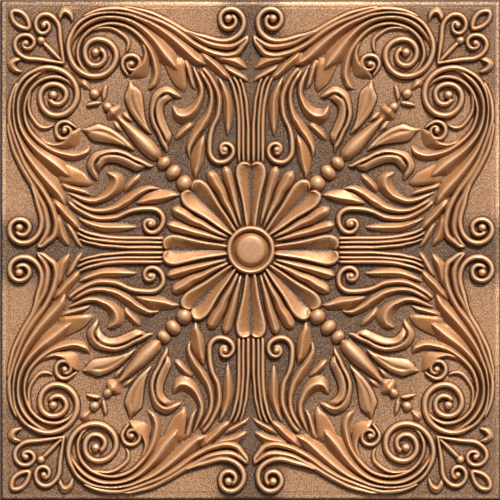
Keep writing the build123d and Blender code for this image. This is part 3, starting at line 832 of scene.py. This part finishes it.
def sampled(field, places):
    # value of a fine grid field at each vertex of the tile
    spot = np.abs(places[:, :2]) / mm / tileSheet["skinStep"]
    last = field.shape[0] - 1
    column, row = np.clip(spot[:, 0], 0, last - 1e-6), np.clip(spot[:, 1], 0, last - 1e-6)
    i, j = column.astype(int), row.astype(int)
    a, b = column - i, row - j
    return ((field[j, i] * (1 - a) + field[j, i + 1] * a) * (1 - b)
            + (field[j + 1, i] * (1 - a) + field[j + 1, i + 1] * a) * b)


def smoothNormals(mesh, heights):
    # shading follows the fine relief, while sides and back stay flat
    places = readOut(mesh.vertices, "co", 3)
    slopeUp, slopeAcross = np.gradient(heights * shading["depth"], tileSheet["skinStep"])
    normals = np.stack([-sampled(slopeAcross, places) * np.sign(places[:, 0]),
                        -sampled(slopeUp, places) * np.sign(places[:, 1]), np.ones(len(places))], axis=1)
    normals /= np.linalg.norm(normals, axis=1)[:, None]
    sizes = readOut(mesh.polygons, "loop_total", kind=np.int32)
    corners = readOut(mesh.loops, "vertex_index", kind=np.int32)
    facing = np.repeat(readOut(mesh.polygons, "normal", 3), sizes, axis=0)
    wide = np.repeat(readOut(mesh.polygons, "area"), sizes) > shading["wideFacet"] * mm ** 2
    onFace, gentle = facing[:, 2] > shading["faceUp"], facing[:, 2] > shading["gentleUp"]
    facing[onFace] *= (shading["depth"], shading["depth"], 1)
    # a facet with all its corners at the plain ground counts as level
    lifted = places[corners, 2] > (tileSheet["ground"] + shading["liftedBy"]) * mm
    starts = np.cumsum(sizes) - sizes
    low = np.repeat(np.add.reduceat(lifted.astype(int), starts) == 0, sizes)
    rimStart = (tileSheet["side"] / 2 - tileSheet["rimFoot"]) * mm
    level = low & onFace & (np.abs(places[corners, :2]).max(axis=1) < rimStart)
    facing[level] = (0, 0, 1)
    facing /= np.linalg.norm(facing, axis=1)[:, None]
    # where the fine slope leaves its facet, at a foot or a crest, the facet wins
    agree = ((normals[corners] * facing).sum(axis=1) - shading["agreeFrom"]) / shading["agreeSpan"]
    agree = np.where(onFace & (facing[:, 2] < shading["slopedUp"]), np.clip(agree, 0, 1), 0)[:, None]
    blend = normals[corners] * agree + facing * (1 - agree)
    mesh.polygons.foreach_set("use_smooth", np.ones(len(mesh.polygons), dtype=bool))
    mesh.normals_split_custom_set(blend / np.linalg.norm(blend, axis=1)[:, None])
    return corners, low & gentle & wide


def storeField(mesh, label, field, corners, plain):
    # one value for each face corner; wide level facets stay plain
    values = sampled(field, readOut(mesh.vertices, "co", 3))[corners]
    values[plain] = 0
    mesh.attributes.new(label, "FLOAT", "CORNER").data.foreach_set("value", values)


def beadSeats():
    # one point for each bead and each knob, with its size along, across and up
    ground = tileSheet["ground"] * mm
    seats = [(bead["at"], bead["at"]) for bead in beads] + [eye[:2] for eye in eyes.values()]
    sizes = [(bead["across"], bead["along"], bead["rise"]) for bead in beads]
    sizes += [(reach, reach, strokeWork["eyeRise"]) for _, _, reach in eyes.values()]
    mesh = bpy.data.meshes.new("beadSeats")
    mesh.from_pydata([(x * pitch * mm, y * pitch * mm, ground) for x, y in seats], [], [])
    scaled = np.array(sizes) * (mm, mm, mm * lift)
    mesh.attributes.new("beadSize", "FLOAT_VECTOR", "POINT").data.foreach_set("vector", scaled.ravel())
    return mesh


# relief of one eighth
joined = bmesh.new()
joined.from_mesh(grow("reliefPaths", pathMesh(paths), sweepTree()))
joined.from_mesh(grow("beadSeats", beadSeats(), beadTree()))
eighth = bpy.data.meshes.new("eighth")
joined.to_mesh(eighth)
joined.free()
relief = placed("eighth", eighth)
print("relief swept:", len(eighth.polygons), "faces")

across, up, heights = skinHeights(relief)
bpy.data.objects.remove(relief)
hubOutline = np.array(hub["outline"])
hubHeight = np.interp(np.hypot(across, up) / pitch, hubOutline[:, 0], hubOutline[:, 1], right=0)
heights = np.maximum(heights, tileSheet["ground"] + lift * hubHeight)
heights = addRim(across, up, blurred(heights, tileSheet["smoothing"]))
heights = np.minimum(heights, tileSheet["ground"] + tileSheet["relief"])
print("skin read:", heights.shape, round(float(heights.min()), 2), round(float(heights.max()), 2))

tileMesh = closedTile(faceMesh(across, up, heights))
corners, plain = smoothNormals(tileMesh, heights)
fields = {"raised": (heights - tileSheet["ground"]) / tileSheet["relief"],
          "hollow": blurred(heights, shading["hollowReach"]) - heights,
          "swell": heights - blurred(heights, shading["swellReach"])}
for label, field in fields.items():
    storeField(tileMesh, label, field, corners, plain)
foamTile = placed("foamTile", tileMesh)
print("tile:", len(tileMesh.polygons), "faces")


copperPaint = {
    "crest": (0.88, 0.565, 0.345),      # rubbed copper on the crests, lightened further as a painted highlight
    "body": (0.49, 0.218, 0.084),       # copper on the flanks
    "field": (0.56, 0.315, 0.178),      # duller grained copper of the open ground
    "patina": (0.050, 0.043, 0.038),    # slate brown left in the crowded hollows
    "creviceShadeAndPatina": (0.075, 0.026, 0.008),   # dark line of painted shade and patina at the foot of every form
    "creviceReach": 5.0,                # mm round a point that set how much painted shade it gets at a foot
    "pocketReach": 24.0,                # mm round it that leave it slate brown
    "lightSamples": 8,
    "metal": 0.30,
    "roughness": 0.50,
    "roughPlay": (-0.05, 0.06),         # change of it across the tile
    "cloud": (30.0, 3, 0.5),            # noises: scale, detail and roughness
    "grain": (900.0, 4, 0.65),
    "speckle": (840.0, 2, 0.6),
    "grainBump": 0.10,
    "bumpStrength": 0.6,
    "crowdShare": 0.55,                 # wash from being closed in
    "pocketShare": 0.82,                # and from the place on the tile
    # share of the painted shade and patina colour on the band along the very edge
    "edgeShare": 0.85,
    "discSpeckle": 0.3,
    "discLight": 0.22,                  # how much lighter the middle disc is
}

# where each layer of the paint sets in: value at the start and the end, share at both
paintSteps = {
    "ground": (0.02, 0.30, 1.0, 0.0),           # share of the relief's height
    # rubbed copper with a painted highlight on the crests: by height, against the blurred relief, and on
    # broad swells
    "highCrestRubAndHighlight": (0.50, 0.92, 0.0, 0.75),
    "sharpCrestRubAndHighlight": (-0.36, -0.08, 0.75, 0.0),    # mm against the blurred relief
    "broadCrestRubAndHighlight": (0.10, 1.05, 0.0, 1.0),
    # painted shade, with patina, in the narrow hollows
    "hollowLine": (0.10, 0.40, 0.0, 1.0),
    "crowded": (0.55, 0.93, 1.0, 0.0),          # light that reaches the spot
    "shadeLine": (0.34, 0.76, 1.0, 0.0),
    "washSpeckle": (0.40, 0.60, 1.0, 0.72),     # noise
    "depthSpeckle": (0.38, 0.62, -0.46, 0.46),
    "depthFine": (0.3, 0.7, 0.80, 1.20),
    "cloudPlay": (0.3, 0.7),
}

# the same, measured in mm
paintRings = {
    "disc": (13, 15, 1.0, 0.0),                 # from the middle
    "middleWash": (115, 250, 1.0, 0.0),
    "axisEnd": (200, 240, 1.0, 0.95),
    "cornerWash": (262, 296, 0.0, 0.65),
    "besideAxis": (18, 44, 1.0, 0.0),           # from the nearer axis
    "rimCrest": (6.4, 4.2, 0.0, 0.9),           # in from the side; rimCrest paints a highlight along the rim's top
    "rimDull": (4.6, 2.4, 0.0, 0.9),
    "rimLine": (3.0, 1.4, 0.0, 1.0),
}


def paintMaterial():
    material = bpy.data.materials.new("antiqueCopperPaint")
    material.use_nodes = True
    t = Tree(tree=material.node_tree)
    shader = t.tree.nodes["Principled BSDF"]
    paint, half = copperPaint, tileSheet["side"] / 2

    def ramp(value, low, high, start, end):
        inputs = {"Value": value, 1: low, 2: high, 3: start, 4: end}
        return t.out("ShaderNodeMapRange", inputs, interpolation_type="SMOOTHSTEP")

    def step(value, name):
        return ramp(value, *paintSteps[name])

    def ring(distance, name):
        low, high, start, end = paintRings[name]
        return ramp(distance, low * mm, high * mm, start, end)

    def rimRing(name):
        outer, inner, start, end = paintRings[name]
        return ramp(outwards, (half - outer) * mm, (half - inner) * mm, start, end)

    def noise(name):
        scale, detail, rough = paint[name]
        inputs = {"Vector": place, "Scale": scale, "Detail": detail, "Roughness": rough}
        return t.out("ShaderNodeTexNoise", inputs)

    def openness(reach):
        # share of the sky that the spot sees, out to this many mm
        return t.out("ShaderNodeAmbientOcclusion", {"Distance": reach * mm}, "AO",
                     samples=paint["lightSamples"], only_local=True)

    def mix(share, first, second):
        node = t.node("ShaderNodeMix", {0: share}, data_type="RGBA")
        for socket, value in ((node.inputs[6], first), (node.inputs[7], second)):
            if isinstance(value, tuple):
                socket.default_value = (*value, 1)
            else:
                t.tree.links.new(value, socket)
        return node.outputs[2]

    place = t.out("ShaderNodeTexCoord", port="Object")
    fine, speckle = noise("grain"), noise("speckle")
    raisedBy, hollowBy, swellBy = [t.out("ShaderNodeAttribute", port="Fac", attribute_name=name)
                                   for name in ("raised", "hollow", "swell")]
    apart = t.node("ShaderNodeSeparateXYZ", {0: t.vector("ABSOLUTE", place)}).outputs
    outwards = t.math("MAXIMUM", apart[0], apart[1])
    fromAxis = t.math("MINIMUM", apart[0], apart[1])
    fromMiddle = t.out("ShaderNodeVectorMath", {0: place}, "Value", operation="LENGTH")
    onGround, onDisc = step(raisedBy, "ground"), ring(fromMiddle, "disc")

    # the wash lies thickest round the middle, along both axes and in the corners
    alongAxis = t.math("MULTIPLY", ring(fromAxis, "besideAxis"), ring(fromMiddle, "axisEnd"))
    pocket = t.math("MAXIMUM", ring(fromMiddle, "middleWash"), alongAxis)
    pocket = t.math("MAXIMUM", pocket, ring(fromMiddle, "cornerWash"))
    crowd = step(openness(paint["pocketReach"]), "crowded")
    pocket = t.math("MULTIPLY", pocket, paint["pocketShare"])
    crowd = t.math("MULTIPLY_ADD", crowd, paint["crowdShare"], pocket)
    patina = t.math("MULTIPLY", onGround, t.math("MINIMUM", crowd, 1.0))
    patina = t.math("MULTIPLY", patina, step(speckle, "washSpeckle"))

    # rubbed copper with a painted highlight on the crests
    crest = t.math("MAXIMUM", step(hollowBy, "sharpCrestRubAndHighlight"), step(swellBy, "broadCrestRubAndHighlight"))
    crest = t.math("MAXIMUM", crest, step(raisedBy, "highCrestRubAndHighlight"))
    base = mix(crest, paint["body"], paint["crest"])
    base = mix(t.math("MAXIMUM", onGround, onDisc), base, paint["field"])
    # a painted highlight along the top of the rim
    base = mix(rimRing("rimCrest"), base, paint["crest"])
    base = mix(patina, base, paint["patina"])

    # painted shade, with patina, in narrow hollows, at the foot of every form and on a band at the very edge
    shade = step(openness(paint["creviceReach"]), "shadeLine")
    creviceShadeAndPatina = t.math("MAXIMUM", step(hollowBy, "hollowLine"), shade)
    creviceShadeAndPatina = t.math("MAXIMUM", creviceShadeAndPatina, t.math("MULTIPLY", rimRing("rimLine"), paint["edgeShare"]))
    base = mix(creviceShadeAndPatina, base, paint["creviceShadeAndPatina"])

    # the ground is speckled, the forms only a little
    depth = t.math("MULTIPLY_ADD", onDisc, paint["discSpeckle"], onGround)
    depth = t.math("MULTIPLY", depth, step(speckle, "depthSpeckle"))
    depth = t.math("MULTIPLY_ADD", onDisc, paint["discLight"], depth)
    depth = t.math("ADD", depth, step(fine, "depthFine"))
    grain = t.out("ShaderNodeHueSaturation", {"Value": depth, "Color": base})
    t.tree.links.new(grain, shader.inputs["Base Color"])
    shader.inputs["Metallic"].default_value = paint["metal"]
    limits = [paint["roughness"] + play for play in paint["roughPlay"]]
    rough = ramp(noise("cloud"), *paintSteps["cloudPlay"], *limits)
    t.tree.links.new(t.math("MAXIMUM", rough, rimRing("rimDull")), shader.inputs["Roughness"])
    pitted = {"Strength": paint["bumpStrength"], "Distance": paint["grainBump"] * mm, "Height": fine}
    t.tree.links.new(t.out("ShaderNodeBump", pitted), shader.inputs["Normal"])
    return material


foamTile.data.materials.clear()
foamTile.data.materials.append(paintMaterial())
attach(foamTile, "root")
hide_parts("foam_tile")
print("tile finished")

studio = {
    "floorColor": (0.74, 0.71, 0.67),
    "floorRough": 0.9,
    "floorReach": 6.0,              # metres from the middle
    "floorDrop": 0.0003,            # below the back of the tile
    "key": 5.2,
    "keyAngle": 10.0,
    "keyFrom": (0.27, 1.0, 0.68),
    "keyColor": (1.0, 0.97, 0.92),
    "world": 0.17,
    "skyColor": (1.0, 0.86, 0.72),
}


def studioFloor():
    mesh = bpy.data.meshes.new("studioFloor")
    reach, drop = studio["floorReach"], studio["floorDrop"]
    corners = [(x * reach, y * reach, -drop) for x, y in ((-1, -1), (1, -1), (1, 1), (-1, 1))]
    mesh.from_pydata(corners, [], [(0, 1, 2, 3)])
    material = bpy.data.materials.new("floorPaper")
    material.use_nodes = True
    shader = material.node_tree.nodes["Principled BSDF"]
    shader.inputs["Base Color"].default_value = (*studio["floorColor"], 1)
    shader.inputs["Roughness"].default_value = studio["floorRough"]
    mesh.materials.append(material)
    placed("studioFloor", mesh)


def keyLamp():
    lamp = bpy.data.lights.new("keySun", "SUN")
    lamp.energy, lamp.color = studio["key"], studio["keyColor"]
    lamp.angle = math.radians(studio["keyAngle"])
    placed("keySun", lamp).rotation_euler = Vector(studio["keyFrom"]).to_track_quat("Z", "Y").to_euler()


studioFloor()
keyLamp()
world = bpy.data.worlds.new("studioWorld")
world.use_nodes = True
sky = world.node_tree.nodes["Background"].inputs
sky["Strength"].default_value = studio["world"]
sky["Color"].default_value = (*studio["skyColor"], 1)
bpy.context.scene.world = world
bpy.context.scene.view_settings.view_transform = "Standard"
print("studio lit")

lensWork = {
    "height": 4.0,              # metres from the floor up to the camera
    "sensor": 36.0,
    "clipEnd": 50.0,
    "photoWidth": 500,          # px
    "centreAcross": 250.75,     # px in the photo where the middle of the tile lies
    "centreDown": 250.1,
}
camera = bpy.data.cameras.new("photoCamera")
camera.sensor_width = lensWork["sensor"]
frameWidth = lensWork["photoWidth"] * pitch * mm     # metres across the ornament, at the ground
camera.lens = camera.sensor_width * (lensWork["height"] - tileSheet["ground"] * mm) / frameWidth
camera.clip_end = lensWork["clipEnd"]
cameraHolder = placed("photoCamera", camera)
middle = lensWork["photoWidth"] / 2
cameraHolder.location = ((middle - lensWork["centreAcross"]) * mm,
                         (lensWork["centreDown"] - middle) * mm, lensWork["height"])
bpy.context.scene.camera = cameraHolder
